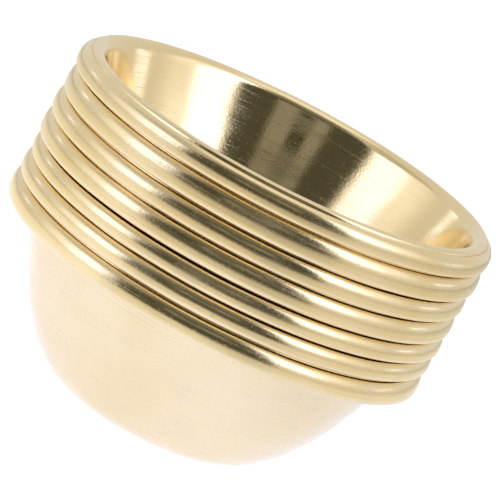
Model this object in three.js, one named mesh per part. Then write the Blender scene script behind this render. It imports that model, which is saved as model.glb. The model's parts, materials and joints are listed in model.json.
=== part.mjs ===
// Seven small brass bowls stored as a nest, each one standing inside the bowl below it.
// Every bowl is a single piece of spun sheet: a flat foot, a round belly, a leaning wall,
// a flared lip, and a bead rolled outwards round the rim, hollow on its underside.
// Millimetres, +Z up. The origin is the middle of the lowest bowl's foot, on the nest's axis.
import * as THREE from "three";

// Driving dimensions, the same on every bowl.
const rimRadius = 35; // axis to the outermost line of the bead
const sheet = 0.75; // thickness of the spun wall
const footRadius = 12; // the flat that a bowl stands on
const heelRadius = 11.5; // outer curve between the foot and the belly
const bellyRadius = 35; // outer curve between the heel and the straight wall
const heelLean = 44; // degrees from upright where the heel meets the belly
const wallLean = 21; // degrees from upright of the straight wall
const beadHeight = 24.8; // foot to the middle of the bead
const beadWidth = 3.2; // bead, measured outwards from the axis
const beadShare = 0.62; // how much of the bead's height is above its widest line
const upperPower = 2.15; // how square the bead is above and below that line; 2 is a plain oval
const lowerPower = 4;
const lipRise = 0.65; // crest of the lip above the bead
const lipWidth = 0.9; // crest of the lip to its outer edge
const lipHeight = 0.9; // crest of the lip down to its outer edge
const lipPower = 2.8;
const flareRadius = 1.9; // inner curve that turns the wall out into the lip
const grooveDepth = 1.7; // hollow under the rolled bead

// Spun by hand, the bowls differ a little in how tall their beads came out, lowest bowl first.
const beadSizes = [3.7, 3.02, 3, 3.59, 3.29, 3.82, 3.03];
const beadSpacing = 0.3; // between two beads, one above the other

// Directions in a bowl's section, in degrees.
const out = 0;
const up = 90;
const inwards = 180;
const down = -90;

// Where the lip's crease and the groove cut the round of the bead, and where the lip's edge starts.
const creaseAngle = 78;
const grooveAngle = -80;
const lipEdgeAngle = 5;

// How finely the curves are drawn.
const turnSteps = 36;
const wallCurveSteps = 2;
const beadSteps = 4;
const grooveSteps = 3;
const lipSteps = 3;
const flareSteps = 2;

const lean = THREE.MathUtils.degToRad(wallLean);

// Points of a section curve about a centre, from one direction to another. The height may
// differ from the width, for an oval curve.
function curve(centre, width, height, from, to, steps) {
  return Array.from({ length: steps + 1 }, (_, i) => {
    const angle = THREE.MathUtils.degToRad(from + ((to - from) * i) / steps);
    return new THREE.Vector2(
      centre.x + width * Math.cos(angle),
      centre.y + height * Math.sin(angle),
    );
  });
}

// The same with squared shoulders. Power 2 is a plain oval and a higher power is squarer.
function squaredCurve(centre, width, height, power, from, to, steps) {
  const squared = (value) => Math.sign(value) * Math.abs(value) ** (2 / power);
  return curve(new THREE.Vector2(0, 0), 1, 1, from, to, steps).map(
    (point) => new THREE.Vector2(
      centre.x + width * squared(point.x),
      centre.y + height * squared(point.y),
    ),
  );
}

// The heel and belly, moved inwards by a distance, from the foot up to the straight wall.
const heelCentre = new THREE.Vector2(footRadius, heelRadius);
const heelTurn = THREE.MathUtils.degToRad(heelLean);
const bellyCentre = new THREE.Vector2(
  heelCentre.x + (heelRadius - bellyRadius) * Math.cos(heelTurn),
  heelCentre.y - (heelRadius - bellyRadius) * Math.sin(heelTurn),
);

function lowerWall(inset) {
  const heel = heelRadius - inset;
  const belly = bellyRadius - inset;
  return [
    ...curve(heelCentre, heel, heel, down, -heelLean, wallCurveSteps),
    ...curve(bellyCentre, belly, belly, -heelLean, -wallLean, wallCurveSteps).slice(1),
  ];
}

// Radius of the straight wall at a height, moved inwards by a distance.
function wallRadius(height, inset) {
  const start = lowerWall(inset).at(-1);
  return start.x + (height - start.y) * Math.tan(lean);
}

// The half section of a bowl whose bead is beadSize tall, from the axis under the foot,
// out and up over the rim, and down the inside to the axis again.
function bowlSection(beadSize) {
  const half = beadSize / 2;
  const upper = beadSize * beadShare;
  const lower = beadSize - upper;
  const width = beadWidth / 2;
  const beadCentre = new THREE.Vector2(rimRadius - width, beadHeight - half + lower);
  const bead = [
    ...squaredCurve(beadCentre, width, lower, lowerPower, grooveAngle, out, beadSteps),
    ...squaredCurve(beadCentre, width, upper, upperPower, out, creaseAngle, beadSteps).slice(1),
  ];

  // The hollow under the bead is half an oval, from the wall out to the bead's lowest line.
  const grooveRim = bead[0];
  const grooveWall = wallRadius(grooveRim.y, 0);
  const grooveHalf = (grooveRim.x - grooveWall) / 2;
  const grooveCentre = new THREE.Vector2(grooveWall + grooveHalf, grooveRim.y);
  const groove = curve(grooveCentre, grooveHalf, grooveDepth, inwards, out, grooveSteps);

  // The lip's two curves meet at its crest, and the inner one runs smoothly into the wall.
  const lipTop = beadHeight + half + lipRise;
  const flareHeight = lipTop - flareRadius;
  const flareCentre = new THREE.Vector2(
    wallRadius(flareHeight, sheet) + flareRadius / Math.cos(lean),
    flareHeight,
  );
  const flare = curve(flareCentre, flareRadius, flareRadius, up, inwards - wallLean, flareSteps);
  const lipCentre = new THREE.Vector2(flareCentre.x, lipTop - lipHeight);
  const lip = squaredCurve(lipCentre, lipWidth, lipHeight, lipPower, lipEdgeAngle, up, lipSteps);

  return [
    new THREE.Vector2(0, 0),
    ...lowerWall(0),
    ...groove.slice(0, -1),
    ...bead,
    ...lip.slice(0, -1),
    ...flare,
    ...lowerWall(sheet).reverse(),
    new THREE.Vector2(0, sheet),
  ];
}

const brass = { color: 0xd9c188, metalness: 1, roughness: 0.28 };

function makeBowl(name, beadSize, footHeight) {
  const geometry = new THREE.LatheGeometry(bowlSection(beadSize), turnSteps);
  geometry.rotateX(Math.PI / 2);
  const bowl = new THREE.Mesh(geometry, new THREE.MeshStandardMaterial(brass));
  bowl.name = name;
  bowl.position.z = footHeight;
  return bowl;
}

// Each bowl stands higher than the one it is nested in by the two half beads and the spacing.
const nest = new THREE.Group();
let footHeight = 0;
beadSizes.forEach((beadSize, i) => {
  if (i > 0) footHeight += (beadSizes[i - 1] + beadSize) / 2 + beadSpacing;
  nest.add(makeBowl(`bowl_${i + 1}`, beadSize, footHeight));
});

export default nest;
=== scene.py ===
"""A nest of seven spun brass bowls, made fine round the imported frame.

Metres, +Z up. The bowls stand round the Z axis, and the lowest one stands on the table at zero.
"""
import json
import math
import random

import bpy
from mathutils import Matrix, Vector


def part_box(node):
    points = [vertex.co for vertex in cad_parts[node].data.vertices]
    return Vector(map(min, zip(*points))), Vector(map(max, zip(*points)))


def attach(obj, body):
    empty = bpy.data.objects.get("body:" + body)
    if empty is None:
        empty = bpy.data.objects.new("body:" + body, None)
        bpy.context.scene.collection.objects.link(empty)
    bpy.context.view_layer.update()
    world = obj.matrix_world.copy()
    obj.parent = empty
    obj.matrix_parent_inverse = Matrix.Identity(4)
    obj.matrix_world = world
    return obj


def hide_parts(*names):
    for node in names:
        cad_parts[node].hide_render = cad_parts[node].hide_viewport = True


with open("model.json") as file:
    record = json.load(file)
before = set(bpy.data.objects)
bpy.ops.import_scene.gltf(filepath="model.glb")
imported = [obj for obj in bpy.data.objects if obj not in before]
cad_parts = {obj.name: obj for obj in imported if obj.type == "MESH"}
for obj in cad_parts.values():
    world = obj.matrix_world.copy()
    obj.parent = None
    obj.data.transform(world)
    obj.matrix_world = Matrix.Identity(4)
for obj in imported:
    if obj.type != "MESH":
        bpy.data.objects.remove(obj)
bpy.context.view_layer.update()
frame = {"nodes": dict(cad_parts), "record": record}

MM = 0.001
BOWLS = sorted(frame["nodes"])
RIM_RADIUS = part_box(BOWLS[0])[1].x

# One bowl's section, as in the frame.
SHEET = 0.75 * MM
FOOT_RADIUS = 12 * MM
HEEL_RADIUS = 11.5 * MM
BELLY_RADIUS = 35 * MM
HEEL_LEAN = math.radians(44)
WALL_LEAN = math.radians(21)
BEAD_HEIGHT = 24.8 * MM
BEAD_WIDTH = 3.2 * MM
BEAD_SHARE = 0.62  # how much of a bead's height is above its widest line
UPPER_POWER = 2.15  # how square the bead is above and below that line; 2 is a plain oval
LOWER_POWER = 4.0
CREASE_ANGLE = math.radians(78)
GROOVE_ANGLE = math.radians(-80)
GROOVE_DEPTH = 1.7 * MM
LIP_RISE = 0.65 * MM
LIP_WIDTH = 0.9 * MM
LIP_HEIGHT = 0.9 * MM
LIP_POWER = 2.8
LIP_EDGE_ANGLE = math.radians(5)
FLARE_RADIUS = 1.9 * MM

# What the fine section has and the frame's has not.
BEAD_FILL = 0.09 * MM  # how much fuller the bead is, above and below
WALL_BOW = 0.15 * MM  # how far the wall swells from straight, half way up
CREASE_REACH = 0.06 * MM  # how far each side of a corner is rounded off
TIP_REACH = 0.04 * MM

# How finely a bowl is drawn.
TURN_STEPS = 240
FLAT_STEPS = 6
HEEL_STEPS = 12
BELLY_STEPS = 10
WALL_STEPS = 12
BEAD_STEPS = 18
GROOVE_STEPS = 14
LIP_STEPS = 12
FLARE_STEPS = 12
CORNER_STEPS = 4

# Where each bowl settled in the one below it, to the right and to the back, in millimetres.
SEATS = {
    "bowl_1": (-0.33, -0.2),
    "bowl_2": (-0.2, -0.2),
    "bowl_3": (0.0, -0.25),
    "bowl_4": (-0.1, -0.15),
    "bowl_5": (0.0, -0.1),
    "bowl_6": (0.3, 0.0),
    "bowl_7": (0.25, 0.2),
}
RIM_TILT = {"bowl_1": 0.0035}  # how far the rim falls to the right, as a slope
USUAL_TILT = 0.0006
NARROWER = {"bowl_2": 0.15, "bowl_3": 0.22}  # at the rim, in millimetres

# How far a hand-spun rim strays from round, in slow waves and quick ripples round the axis.
# Below the rim a bowl strays less, by this power of the height.
SLOW_ORDERS = range(2, 7)
QUICK_ORDERS = range(7, 17)
WAVE_SIZES = (0.4, 1.0)
SLOW_STRAY = 0.05 * MM
QUICK_STRAY = 0.006 * MM
SLOW_UPWARDS = 0.4  # how much of the slow waves shows up and down, too
STRAY_POWER = 2


def squared(centre, width, height, power, start, end, steps):
    """Points of an oval arc with squared shoulders in the section. Power 2 is a plain oval.

    Angles are from straight out, turning upwards.
    """
    points = []
    for i in range(steps + 1):
        angle = start + (end - start) * i / steps
        across = math.copysign(abs(math.cos(angle)) ** (2 / power), math.cos(angle))
        along = math.copysign(abs(math.sin(angle)) ** (2 / power), math.sin(angle))
        points.append(Vector((centre[0] + width * across, centre[1] + height * along)))
    return points


def curve(centre, width, height, start, end, steps):
    """Points of a plain oval arc in the section."""
    return squared(centre, width, height, 2, start, end, steps)


def straight(start, end, steps):
    """Points between two points of the section, without the two ends."""
    return [start.lerp(end, i / steps) for i in range(1, steps)]


def bowed(start, end, steps):
    """Points between two points of a wall, swelling outwards between them, without the two ends."""
    outwards = Vector((end[1] - start[1], start[0] - end[0])).normalized()
    return [start.lerp(end, i / steps) + outwards * WALL_BOW * math.sin(math.pi * i / steps)
            for i in range(1, steps)]


def softened(points, corner, reach):
    """The outline with one corner rounded off over a reach to each side of it."""
    tip = points[corner]
    before = tip + (points[corner - 1] - tip).normalized() * reach
    after = tip + (points[corner + 1] - tip).normalized() * reach
    shares = [i / CORNER_STEPS for i in range(CORNER_STEPS + 1)]
    bend = [before.lerp(tip, share).lerp(tip.lerp(after, share), share) for share in shares]
    return points[:corner] + bend + points[corner + 1:]


def lower_wall(inset):
    """Heel and belly, moved inwards, from the foot up to the straight wall."""
    heel_centre = Vector((FOOT_RADIUS, HEEL_RADIUS))
    turn = HEEL_RADIUS - BELLY_RADIUS
    belly_centre = heel_centre + Vector((turn * math.cos(HEEL_LEAN), -turn * math.sin(HEEL_LEAN)))
    heel = HEEL_RADIUS - inset
    belly = BELLY_RADIUS - inset
    points = curve(heel_centre, heel, heel, -math.pi / 2, -HEEL_LEAN, HEEL_STEPS)
    return points + curve(belly_centre, belly, belly, -HEEL_LEAN, -WALL_LEAN, BELLY_STEPS)[1:]


def wall_radius(height, inset):
    """Radius of the straight wall at a height, moved inwards."""
    start = lower_wall(inset)[-1]
    return start[0] + (height - start[1]) * math.tan(WALL_LEAN)


def bead_section(bead_size):
    """The bead's outside, from its lowest line over its widest to the crease under the lip."""
    lower = bead_size * (1 - BEAD_SHARE) + BEAD_FILL
    upper = bead_size * BEAD_SHARE + BEAD_FILL
    half_width = BEAD_WIDTH / 2
    centre = Vector((RIM_RADIUS - half_width, BEAD_HEIGHT - bead_size / 2 - BEAD_FILL + lower))
    under = squared(centre, half_width, lower, LOWER_POWER, GROOVE_ANGLE, 0, BEAD_STEPS)
    over = squared(centre, half_width, upper, UPPER_POWER, 0, CREASE_ANGLE, BEAD_STEPS)
    return under + over[1:]


def groove_section(bead_low):
    """The hollow under the bead, from the wall out to the bead's lowest line."""
    wall = Vector((wall_radius(bead_low[1], 0), bead_low[1]))
    half_width = (bead_low[0] - wall[0]) / 2
    return curve((wall + bead_low) / 2, half_width, GROOVE_DEPTH, math.pi, 0, GROOVE_STEPS)


def lip_section(lip_top):
    """The lip, from its outer edge to its crest, and the flare from there down to the wall."""
    flare_height = lip_top - FLARE_RADIUS
    crest = wall_radius(flare_height, SHEET) + FLARE_RADIUS / math.cos(WALL_LEAN)
    edge = squared((crest, lip_top - LIP_HEIGHT), LIP_WIDTH, LIP_HEIGHT, LIP_POWER,
                   LIP_EDGE_ANGLE, math.pi / 2, LIP_STEPS)
    flare = curve((crest, flare_height), FLARE_RADIUS, FLARE_RADIUS,
                  math.pi / 2, math.pi - WALL_LEAN, FLARE_STEPS)
    return edge[:-1], flare


def bowl_section(bead_size):
    """Half section of a bowl, from the axis under the foot, over the rim and down the inside."""
    bead = bead_section(bead_size)
    groove = groove_section(bead[0])
    edge, flare = lip_section(BEAD_HEIGHT + bead_size / 2 + LIP_RISE)
    outside = lower_wall(0)
    inside = lower_wall(SHEET)[::-1]
    under_foot = Vector((0, 0))
    over_foot = Vector((0, SHEET))

    foot = [under_foot] + straight(under_foot, outside[0], FLAT_STEPS)
    wall = bowed(outside[-1], groove[0], WALL_STEPS)
    lining = bowed(inside[0], flare[-1], WALL_STEPS)[::-1]
    floor = straight(inside[-1], over_foot, FLAT_STEPS) + [over_foot]

    outline = foot + outside + wall + groove[:-1] + bead
    tip = len(outline) - len(bead)
    crease = len(outline) - 1
    outline = outline + edge + flare + lining + inside + floor
    outline = softened(outline, crease, CREASE_REACH)
    return softened(outline, tip, TIP_REACH)


def out_of_true(seed):
    """How far a hand-spun rim strays from round, as a function of the angle."""
    draw = random.Random(seed)
    waves = [(order, draw.uniform(0, math.tau), draw.uniform(*WAVE_SIZES)) for order in SLOW_ORDERS]
    ripples = [(order, draw.uniform(0, math.tau), draw.uniform(*WAVE_SIZES)) for order in QUICK_ORDERS]

    def stray(angle):
        slow = sum(size * math.sin(order * angle + start) / order for order, start, size in waves)
        quick = sum(size * math.sin(order * angle + start) for order, start, size in ripples)
        return SLOW_STRAY * slow, QUICK_STRAY * quick

    return stray


def spun_points(node, section, low, top):
    """A bowl's points, ring by ring along the section, and last the two on the axis."""
    stray = out_of_true(int(node.split("_")[1]))
    tilt = RIM_TILT.get(node, USUAL_TILT)
    narrower = NARROWER.get(node, 0) * MM
    right, behind = [settled * MM for settled in SEATS[node]]
    points = []
    for radius, height in section[1:-1]:
        rise = (height / top) ** STRAY_POWER
        for step in range(TURN_STEPS):
            angle = math.tau * step / TURN_STEPS
            slow, quick = stray(angle)
            wide = radius + (slow + quick - narrower) * rise
            drop = tilt * (RIM_RADIUS + radius * math.cos(angle))
            tall = low + height + rise * (slow * SLOW_UPWARDS + quick - drop)
            points.append((right + wide * math.cos(angle), behind + wide * math.sin(angle), tall))
    return points + [(right, behind, low), (right, behind, low + SHEET)]


def spun_faces(rings):
    """The faces between the rings, and the two fans that close the foot and the floor."""
    faces = []
    for ring in range(rings - 1):
        for step in range(TURN_STEPS):
            here = ring * TURN_STEPS + step
            beside = ring * TURN_STEPS + (step + 1) % TURN_STEPS
            faces.append((here, beside, beside + TURN_STEPS, here + TURN_STEPS))
    under_foot = rings * TURN_STEPS
    over_foot = under_foot + 1
    last = (rings - 1) * TURN_STEPS
    for step in range(TURN_STEPS):
        beside = (step + 1) % TURN_STEPS
        faces.append((under_foot, beside, step))
        faces.append((over_foot, last + step, last + beside))
    return faces


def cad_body(node):
    """The body that holds a node."""
    bodies = frame["record"]["behaviour"]["bodies"]
    return next(body for body, nodes in bodies.items() if node in nodes)


def make_bowl(node, material):
    """A bowl as a fine turned mesh, in the place of its CAD node."""
    low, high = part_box(node)
    section = bowl_section(2 * (high.z - low.z - BEAD_HEIGHT - LIP_RISE))
    points = spun_points(node, section, low.z, high.z - low.z)
    rings = len(section) - 2

    mesh = bpy.data.meshes.new(node + "_spun")
    mesh.from_pydata(points, [], spun_faces(rings))
    mesh.shade_smooth()
    mesh.materials.append(material)
    bowl = bpy.data.objects.new(node + "_spun", mesh)
    bpy.context.scene.collection.objects.link(bowl)
    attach(bowl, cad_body(node))
    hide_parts(node)


# The sockets that a mix node uses for colours.
MIX_SHARE, MIX_FIRST, MIX_SECOND = 0, 6, 7
MIX_RESULT = 2


class Nodes:
    """Short ways to add nodes to a node tree. A value can be a number or another node's socket."""

    def __init__(self, tree):
        self.tree = tree
        self.tree.nodes.clear()

    def add(self, kind, inputs=None, **settings):
        """A node, with its settings and its inputs."""
        node = self.tree.nodes.new(kind)
        for name, value in settings.items():
            setattr(node, name, value)
        for name, value in (inputs or {}).items():
            self.feed(node.inputs[name], value)
        return node

    def feed(self, socket, value):
        """Sets a socket to a value, or links another socket into it."""
        if isinstance(value, bpy.types.NodeSocket):
            self.tree.links.new(value, socket)
        else:
            socket.default_value = value

    def math(self, operation, *values):
        """One maths step on one or two values."""
        return self.add("ShaderNodeMath", dict(enumerate(values)), operation=operation).outputs[0]

    def total(self, first, *others):
        """All the values added up."""
        for value in others:
            first = self.math("ADD", first, value)
        return first

    def product(self, first, *others):
        """All the values multiplied."""
        for value in others:
            first = self.math("MULTIPLY", first, value)
        return first

    def moved(self, start, share, end):
        """A value moved by a share of the way to another."""
        return self.total(start, self.product(share, self.math("SUBTRACT", end, start)))

    def ramp(self, value, low, high, to_low=0.0, to_high=1.0):
        """A value moved smoothly from one range to another."""
        inputs = {"Value": value, "From Min": low, "From Max": high, "To Min": to_low, "To Max": to_high}
        return self.add("ShaderNodeMapRange", inputs, interpolation_type="SMOOTHSTEP").outputs[0]

    def mix(self, share, first, second):
        """A colour between two, by a share of the second."""
        inputs = {MIX_SHARE: share, MIX_FIRST: first, MIX_SECOND: second}
        return self.add("ShaderNodeMix", inputs, data_type="RGBA").outputs[MIX_RESULT]

    def noise(self, vector, scale, detail, roughness=0.5):
        """Soft noise, from nought to one."""
        inputs = {"Vector": vector, "Scale": scale, "Detail": detail, "Roughness": roughness}
        return self.add("ShaderNodeTexNoise", inputs).outputs["Fac"]

    def bump(self, height, strength, depth, under=None):
        """The surface's direction, tipped by a relief, on top of an earlier bump if there is one."""
        inputs = {"Height": height, "Strength": strength, "Distance": depth}
        if under is not None:
            inputs["Normal"] = under
        return self.add("ShaderNodeBump", inputs).outputs[0]

    def camera_sees(self):
        """One for what the camera sees straight, nought for what is lit or mirrored."""
        return self.add("ShaderNodeLightPath").outputs["Is Camera Ray"]


# The brass, in linear colour.
DEEP_TONE = (0.885, 0.70, 0.39, 1)
PALE_TONE = (0.925, 0.75, 0.44, 1)
LINE_TONE = (0.82, 0.63, 0.34, 1)
DULL_TONE = (0.84, 0.69, 0.44, 1)
SCRATCH_TONE = (0.97, 0.88, 0.70, 1)
LINE_SHARE = 0.35  # how strongly the last three show
DULL_SHARE = 0.4
SCRATCH_SHARE = 0.35

# Brushing runs round the axis: lines to a metre of section, and how quickly they change round it.
FINE_BRUSHING = (5200.0, 1.6)
BROAD_BRUSHING = (900.0, 0.9)
BRUSHING_DETAIL = 3.0
BRUSHING_HARSHNESS = 0.6
ON_THE_AXIS = 1e-5

# Noise without a direction: how many patches to a metre, how much detail, how harsh.
MOTTLE = (55.0, 3.0)
STAIN = (120.0, 5.0, 0.65)
GRAIN = (2600.0, 2.0)
WEAR = (70.0, 2.0)

# Scratches run aslant round a bowl, in worn places, and the right side is handled the most.
SCRATCH_SLANT = 500.0
SCRATCH_AROUND = 110.0
SCRATCH_DETAIL = 2.0
HANDLED_SIDE = (25 * MM, 33 * MM)
HANDLED_WEAR = 0.09

# Between which two noise levels each kind of mark sets in.
MOTTLE_LEVELS = (0.35, 0.65)
STAIN_LEVELS = (0.52, 0.68)
LINE_LEVELS = (0.45, 0.75)
SATIN_LEVELS = (0.3, 0.7)
STREAK_LEVELS = (0.54, 0.74)
SPECK_LEVELS = (0.55, 0.75)
SCRATCH_LEVELS = (0.62, 0.70)
WEAR_LEVELS = (0.60, 0.67)
INSIDE_LEVELS = (-0.5, 0.0)  # of how far the surface faces outwards

# Roughness, and what each kind of mark adds to it.
BROAD_ROUGHNESS = (0.11, 0.18)
FINE_ROUGHNESS = (0.0, 0.05)
STAIN_ROUGHNESS = (0.0, 0.07)
STREAK_ROUGHNESS = (0.0, 0.2)
SPECK_ROUGHNESS = (0.0, 0.12)
SCRATCH_ROUGHNESS = 0.2
OUTSIDE_SHARE = 1.1  # of the brushing's and the stains' roughness
INSIDE_SHARE = 0.62

# Relief: how strongly it tips the surface, and how deep it is.
BRUSHED_RELIEF = (0.09, 0.1 * MM)
GRAIN_RELIEF = (0.2, 0.04 * MM)
DENT_RELIEF = (0.3, 0.4 * MM)
FINE_RELIEF_SHARE = 0.5
BROAD_RELIEF_SHARE = 0.5

# Brushed metal spreads its highlights across the brushing.
ANISOTROPY = 0.25
ANISOTROPY_TURN = 0.25


def spun_coordinates(nodes):
    """Direction round the axis, distance from it and height, for marks that follow the spin."""
    place = nodes.add("ShaderNodeTexCoord").outputs["Object"]
    x, y, height = nodes.add("ShaderNodeSeparateXYZ", {0: place}).outputs
    radius = nodes.math("SQRT", nodes.total(nodes.product(x, x), nodes.product(y, y)))
    safe = nodes.math("MAXIMUM", radius, ON_THE_AXIS)
    east = nodes.math("DIVIDE", x, safe)
    north = nodes.math("DIVIDE", y, safe)
    return dict(place=place, x=x, east=east, north=north, radius=radius, height=height)


def brushing(nodes, spin, lines, around):
    """Noise drawn out round the axis, different at every height and every radius."""
    vector = nodes.add("ShaderNodeCombineXYZ", {
        0: nodes.product(spin["east"], around),
        1: nodes.product(spin["north"], around),
        2: nodes.product(spin["height"], lines),
    }).outputs[0]
    noise = nodes.add("ShaderNodeTexNoise", {
        "Vector": vector, "W": nodes.product(spin["radius"], lines), "Scale": 1.0,
        "Detail": BRUSHING_DETAIL, "Roughness": BRUSHING_HARSHNESS,
    }, noise_dimensions="4D")
    return noise.outputs["Fac"]


def scratches(nodes, spin):
    """A few short bright scratches, gathered in worn places."""
    slant = nodes.product(spin["height"], SCRATCH_SLANT)
    vector = nodes.add("ShaderNodeCombineXYZ", {
        0: nodes.total(nodes.product(spin["east"], SCRATCH_AROUND), slant),
        1: nodes.math("SUBTRACT", nodes.product(spin["north"], SCRATCH_AROUND), slant),
        2: slant,
    }).outputs[0]
    lines = nodes.noise(vector, 1.0, SCRATCH_DETAIL)
    handled = nodes.ramp(spin["x"], *HANDLED_SIDE, 0.0, HANDLED_WEAR)
    worn = nodes.total(nodes.noise(spin["place"], *WEAR), handled)
    return nodes.product(nodes.ramp(lines, *SCRATCH_LEVELS), nodes.ramp(worn, *WEAR_LEVELS))


def on_the_inside(nodes, spin):
    """One where the surface faces the axis, nought where it faces away."""
    normal = nodes.add("ShaderNodeNewGeometry").outputs["Normal"]
    x, y, _ = nodes.add("ShaderNodeSeparateXYZ", {0: normal}).outputs
    outwards = nodes.total(nodes.product(x, spin["east"]), nodes.product(y, spin["north"]))
    return nodes.ramp(outwards, *INSIDE_LEVELS, 1.0, 0.0)


def brass_colour(nodes, marks):
    """Mottled brass, deeper in its finest lines, duller in its stains and paler in its scratches."""
    lines = nodes.ramp(marks["fine"], *LINE_LEVELS, 0.0, LINE_SHARE)
    stains = nodes.ramp(marks["stain"], *STAIN_LEVELS, 0.0, DULL_SHARE)
    mottled = nodes.mix(nodes.ramp(marks["mottle"], *MOTTLE_LEVELS), DEEP_TONE, PALE_TONE)
    lined = nodes.mix(lines, mottled, LINE_TONE)
    dulled = nodes.mix(stains, lined, DULL_TONE)
    return nodes.mix(nodes.product(marks["scratch"], SCRATCH_SHARE), dulled, SCRATCH_TONE)


def brass_roughness(nodes, spin, marks):
    """Satin from the brushing, smoother inside, rougher in stains, streaks, specks and scratches."""
    satin = nodes.total(
        nodes.ramp(marks["broad"], *SATIN_LEVELS, *BROAD_ROUGHNESS),
        nodes.ramp(marks["fine"], *SATIN_LEVELS, *FINE_ROUGHNESS),
        nodes.ramp(marks["stain"], *STAIN_LEVELS, *STAIN_ROUGHNESS),
    )
    polish = nodes.ramp(on_the_inside(nodes, spin), 0.0, 1.0, OUTSIDE_SHARE, INSIDE_SHARE)
    return nodes.total(
        nodes.product(satin, polish),
        nodes.ramp(marks["fine"], *STREAK_LEVELS, *STREAK_ROUGHNESS),
        nodes.ramp(marks["grain"], *SPECK_LEVELS, *SPECK_ROUGHNESS),
        nodes.product(marks["scratch"], SCRATCH_ROUGHNESS),
    )


def brass_relief(nodes, marks):
    """The unevenness of the surface: brushing, then grain, then shallow dents."""
    relief = nodes.total(
        nodes.product(marks["fine"], FINE_RELIEF_SHARE),
        nodes.product(marks["broad"], BROAD_RELIEF_SHARE),
    )
    brushed = nodes.bump(relief, *BRUSHED_RELIEF)
    grained = nodes.bump(marks["grain"], *GRAIN_RELIEF, brushed)
    return nodes.bump(marks["mottle"], *DENT_RELIEF, grained)


def brass():
    """Satin-polished brass, brushed round the axis, with mottling, tarnish and fine scratches."""
    material = bpy.data.materials.new("spun_brass")
    material.use_nodes = True
    nodes = Nodes(material.node_tree)
    spin = spun_coordinates(nodes)
    marks = {
        "mottle": nodes.noise(spin["place"], *MOTTLE),
        "grain": nodes.noise(spin["place"], *GRAIN),
        "stain": nodes.noise(spin["place"], *STAIN),
        "fine": brushing(nodes, spin, *FINE_BRUSHING),
        "broad": brushing(nodes, spin, *BROAD_BRUSHING),
        "scratch": scratches(nodes, spin),
    }
    tangent = nodes.add("ShaderNodeTangent", direction_type="RADIAL", axis="Z")
    shader = nodes.add("ShaderNodeBsdfPrincipled", {
        "Base Color": brass_colour(nodes, marks), "Metallic": 1.0,
        "Roughness": brass_roughness(nodes, spin, marks), "Normal": brass_relief(nodes, marks),
        "Anisotropic": ANISOTROPY, "Anisotropic Rotation": ANISOTROPY_TURN,
        "Tangent": tangent.outputs[0],
    })
    nodes.add("ShaderNodeOutputMaterial", {"Surface": shader.outputs[0]})
    return material


# The camera: a long lens, a little above the rims, rolled so that the nest leans to the right.
CAMERA_RISE = math.radians(13.5)
CAMERA_ROLL = math.radians(-27.6)
CAMERA_DISTANCE = 14.2 * RIM_RADIUS
CAMERA_REACH = 10  # how far it sees
SENSOR_WIDTH = 36  # millimetres, as camera settings are
RIM_SHARE = 0.4606  # the rim's radius, as a share of the picture's width
AIM_HEIGHT = 47.27 * MM  # in the highest rim
AIM_OFFSET = Vector((-0.159, -0.438)) * RIM_RADIUS


def make_camera():
    """The camera, aimed past the highest rim's middle by an offset across the picture."""
    back = Vector((0, -math.cos(CAMERA_RISE), math.sin(CAMERA_RISE)))
    level = Vector((1, 0, 0))
    upright = back.cross(level)
    roll = Matrix.Rotation(CAMERA_ROLL, 3, "Z")
    right, up, back = roll @ Matrix((level, upright, back))
    aim = Vector((0, 0, AIM_HEIGHT)) + AIM_OFFSET.x * right + AIM_OFFSET.y * up

    data = bpy.data.cameras.new("camera")
    data.sensor_width = SENSOR_WIDTH
    data.lens = SENSOR_WIDTH * RIM_SHARE * CAMERA_DISTANCE / RIM_RADIUS
    data.clip_end = CAMERA_REACH
    camera = bpy.data.objects.new("camera", data)
    turn = Matrix((right, up, back)).transposed()
    camera.matrix_world = Matrix.Translation(aim + back * CAMERA_DISTANCE) @ turn.to_4x4()
    bpy.context.scene.collection.objects.link(camera)
    bpy.context.scene.camera = camera


# The studio's light: warm where it is dim, cool where it is bright, and white to the camera.
WHITE = (1, 1, 1, 1)
WARM_DARK = (1.0, 0.98, 0.74, 1)
COOL_LIGHT = (0.94, 1.0, 1.3, 1)
DIM_LIGHT = (0.1, 0.4)  # all warm below the first brightness, all white above the second
BRIGHT_LIGHT = (0.9, 1.6)  # all cool above the second
BACKDROP = 1.1

# Soft panels in a pale room, each laid over the ones before it. Azimuth is degrees round from the
# front, positive to the right, and elevation is degrees above the floor, both to a panel's middle.
ROOM = 0.76
PANELS = [
    dict(azimuth=-2, width=94, elevation=36, height=80, edge=8, light=0.2),
    dict(azimuth=-2, width=92, elevation=22, height=52, edge=10, light=0.075),
    dict(azimuth=2, width=37, elevation=28, height=15, edge=4, light=0.29),
    dict(azimuth=-1, width=12, elevation=29.4, height=6.5, edge=2, light=0.04),
    dict(azimuth=-77, width=62, elevation=60, height=56, edge=10, light=0.56),
    dict(azimuth=-74, width=44, elevation=12, height=36, edge=24, light=1.1),
    dict(azimuth=76, width=46, elevation=38, height=46, edge=24, light=1.15),
    dict(azimuth=-62, width=27, elevation=12, height=40, edge=10, light=1.7),
    dict(azimuth=61, width=28, elevation=38, height=44, edge=10, light=2.0),
    dict(azimuth=119, width=14, elevation=11, height=7, edge=5, light=1.4),
    dict(azimuth=-123, width=9, elevation=10, height=5, edge=4, light=1.5),
]

# The round light overhead: how far it leans to the back, its radius and its soft edge, in degrees.
OVERHEAD = dict(lean=9, spread=21, edge=6, light=1.0)


def inside_panel(nodes, angle, middle, size, edge):
    """One where an angle is within a panel, falling to nought over its soft edge."""
    away = nodes.math("ABSOLUTE", nodes.math("SUBTRACT", angle, middle))
    return nodes.ramp(away, size / 2 - edge / 2, size / 2 + edge / 2, 1.0, 0.0)


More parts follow.
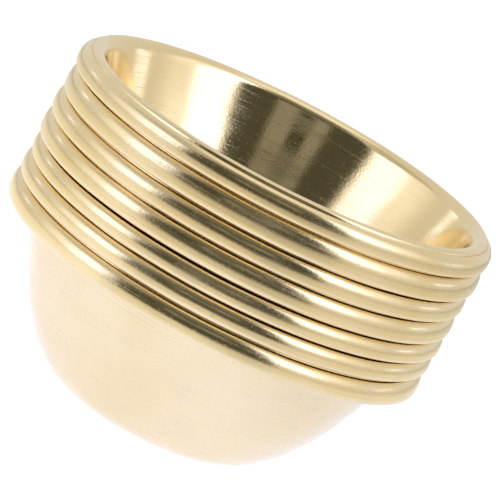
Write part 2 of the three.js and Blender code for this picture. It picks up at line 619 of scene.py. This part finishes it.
def with_panels(nodes, direction, light):
    """The room's brightness in a direction, with the panels laid over it."""
    x, y, z = nodes.add("ShaderNodeSeparateXYZ", {0: direction}).outputs
    azimuth = nodes.math("DEGREES", nodes.math("ARCTAN2", x, nodes.product(y, -1.0)))
    elevation = nodes.math("DEGREES", nodes.math("ARCSINE", z))
    for panel in PANELS:
        across = inside_panel(nodes, azimuth, panel["azimuth"], panel["width"], panel["edge"])
        along = inside_panel(nodes, elevation, panel["elevation"], panel["height"], panel["edge"])
        light = nodes.moved(light, nodes.product(across, along), panel["light"])
    return light


def with_overhead(nodes, direction, light):
    """The room's brightness in a direction, with the overhead light laid over it."""
    lean = math.radians(OVERHEAD["lean"])
    middle = (0, math.sin(lean), math.cos(lean))
    toward = nodes.add("ShaderNodeVectorMath", {0: direction, 1: middle}, operation="DOT_PRODUCT")
    away = nodes.math("DEGREES", nodes.math("ARCCOSINE", toward.outputs["Value"]))
    share = nodes.ramp(away, OVERHEAD["spread"] - OVERHEAD["edge"], OVERHEAD["spread"], 1.0, 0.0)
    return nodes.moved(light, share, OVERHEAD["light"])


def make_room():
    """The light: a pale room with a dark front, bright panels each side and one light overhead."""
    world = bpy.data.worlds.new("studio")
    bpy.context.scene.world = world
    world.use_nodes = True
    nodes = Nodes(world.node_tree)
    direction = nodes.add("ShaderNodeTexCoord").outputs["Generated"]
    light = with_overhead(nodes, direction, with_panels(nodes, direction, ROOM))

    seen = nodes.camera_sees()
    warmed = nodes.mix(nodes.ramp(light, *DIM_LIGHT), WARM_DARK, WHITE)
    cooled = nodes.mix(nodes.ramp(light, *BRIGHT_LIGHT), warmed, COOL_LIGHT)
    background = nodes.add("ShaderNodeBackground", {
        "Color": nodes.mix(seen, cooled, WHITE),
        "Strength": nodes.moved(light, seen, BACKDROP),
    })
    nodes.add("ShaderNodeOutputWorld", {"Surface": background.outputs[0]})


# The table glows: evenly to the eye, and in reflections less and less further from the nest.
TABLE_RADIUS = 1.5
TABLE_STEPS = 96
TABLE_TONE = (0.2, 0.2, 0.2, 1)
TABLE_ROUGHNESS = 0.4
SEEN_TINT = (1, 0.99, 0.97, 1)
SEEN_GLOW = 0.95
REFLECTED_GLOW = 1.4
GLOW_REACH = 150 * MM  # how far out the glow in reflections has fallen by half
NEAREST_GLOW = 0.96  # the most it can be

# In reflections the table is cool near the nest and warm further out.
FAR_TINT = (1.02, 0.98, 0.82, 1)
TINT_REACH = (45 * MM, 150 * MM)

# A dim round patch in front of the nest, which the beads mirror as a dark band.
PATCH_CENTRE = (0, -0.95, 0)
PATCH_EDGE = (0.45, 0.65)  # where its soft edge begins and ends, out from its centre
PATCH_GLOW = 0.15

# The right side of the table glows a little less, and the least from this far out.
SIDE_REACH = 50 * MM
SIDE_GLOW = 0.82


def mirrored_glow(nodes, place, distance):
    """How brightly the table shows in reflections."""
    fall = nodes.total(1.0, nodes.math("DIVIDE", distance, GLOW_REACH))
    glow = nodes.math("MINIMUM", nodes.math("DIVIDE", REFLECTED_GLOW, fall), NEAREST_GLOW)
    patch = nodes.add("ShaderNodeVectorMath", {0: place, 1: PATCH_CENTRE}, operation="DISTANCE")
    lit = nodes.ramp(patch.outputs["Value"], *PATCH_EDGE, PATCH_GLOW, 1.0)
    right = nodes.add("ShaderNodeSeparateXYZ", {0: place}).outputs["X"]
    return nodes.product(glow, lit, nodes.ramp(right, 0.0, SIDE_REACH, 1.0, SIDE_GLOW))


def table_material():
    """The table's pale, faintly glowing surface."""
    material = bpy.data.materials.new("table")
    material.use_nodes = True
    nodes = Nodes(material.node_tree)
    place = nodes.add("ShaderNodeTexCoord").outputs["Object"]
    distance = nodes.add("ShaderNodeVectorMath", {0: place}, operation="LENGTH").outputs["Value"]
    seen = nodes.camera_sees()
    mirrored_tint = nodes.mix(nodes.ramp(distance, *TINT_REACH), COOL_LIGHT, FAR_TINT)
    shader = nodes.add("ShaderNodeBsdfPrincipled", {
        "Base Color": TABLE_TONE, "Roughness": TABLE_ROUGHNESS,
        "Emission Color": nodes.mix(seen, mirrored_tint, SEEN_TINT),
        "Emission Strength": nodes.moved(mirrored_glow(nodes, place, distance), seen, SEEN_GLOW),
    })
    nodes.add("ShaderNodeOutputMaterial", {"Surface": shader.outputs[0]})
    return material


def make_table():
    """A round table top."""
    turns = [math.tau * i / TABLE_STEPS for i in range(TABLE_STEPS)]
    points = [(TABLE_RADIUS * math.cos(turn), TABLE_RADIUS * math.sin(turn), 0) for turn in turns]
    mesh = bpy.data.meshes.new("table")
    mesh.from_pydata(points, [], [tuple(range(TABLE_STEPS))])
    mesh.materials.append(table_material())
    table = bpy.data.objects.new("table", mesh)
    bpy.context.scene.collection.objects.link(table)


make_camera()
metal = brass()
for name in BOWLS:
    make_bowl(name, metal)
make_room()
make_table()
bpy.context.scene.view_settings.view_transform = "Standard"
